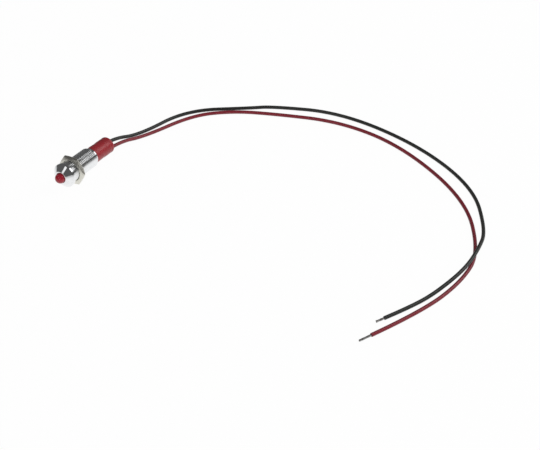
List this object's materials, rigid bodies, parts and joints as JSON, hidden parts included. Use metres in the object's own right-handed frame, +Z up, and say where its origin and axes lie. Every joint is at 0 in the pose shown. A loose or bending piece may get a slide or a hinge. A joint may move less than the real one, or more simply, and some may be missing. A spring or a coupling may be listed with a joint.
{
  "type": "panel indicator light",
  "caption": "Small prominent panel indicator light with a chromed conical bezel, threaded barrel, thin hexagon nut, rear sleeve and insulated flying leads lying on a surface.",
  "frame": {"origin": "on the surface the lamp lies on, under the middle of the lamp's length, leads left out", "axes": "+Y along the lamp from its lens to its leads, +Z up"},
  "size_m": [0.1201, 0.0939, 0.008],
  "materials": {
    "chrome": "bright chrome plate on turned brass",
    "nickel": "satin nickel plate on brass",
    "red_lens": "deep red diffused epoxy",
    "tinned_steel": "tin plated",
    "chip": "polished semiconductor die",
    "gold": "drawn gold wire",
    "black_plastic": "moulded",
    "white_plastic": "extruded",
    "resistor_coat": "dipped coating",
    "black_sleeving": "shrunk sleeving",
    "solder": "cast solder",
    "tinned_copper": "tinned strands",
    "red_sleeving": "shrunk sleeving",
    "resin": "cast resin",
    "red_pvc": "extruded insulation",
    "black_pvc": "extruded insulation"
  },
  "bodies": {
    "root": {"bezel_body": "chrome", "hex_nut": "nickel", "led_lens": "red_lens", "led_cathode_lead": "tinned_steel", "led_anode_lead": "tinned_steel", "led_chip": "chip", "led_bond_wire": "gold", "led_collar": "black_plastic", "insulating_liner": "white_plastic", "resistor_body": "resistor_coat", "resistor_wires": "tinned_steel", "resistor_sleeve": "black_sleeving", "anode_solder": "solder", "red_solder": "solder", "black_solder": "solder", "red_lead_tail": "tinned_copper", "black_lead_tail": "tinned_copper", "rear_sleeve": "red_sleeving", "sleeve_resin": "resin", "red_lead": "red_pvc", "black_lead": "black_pvc", "red_lead_tip": "tinned_copper", "black_lead_tip": "tinned_copper"}
  },
  "joints": []
}
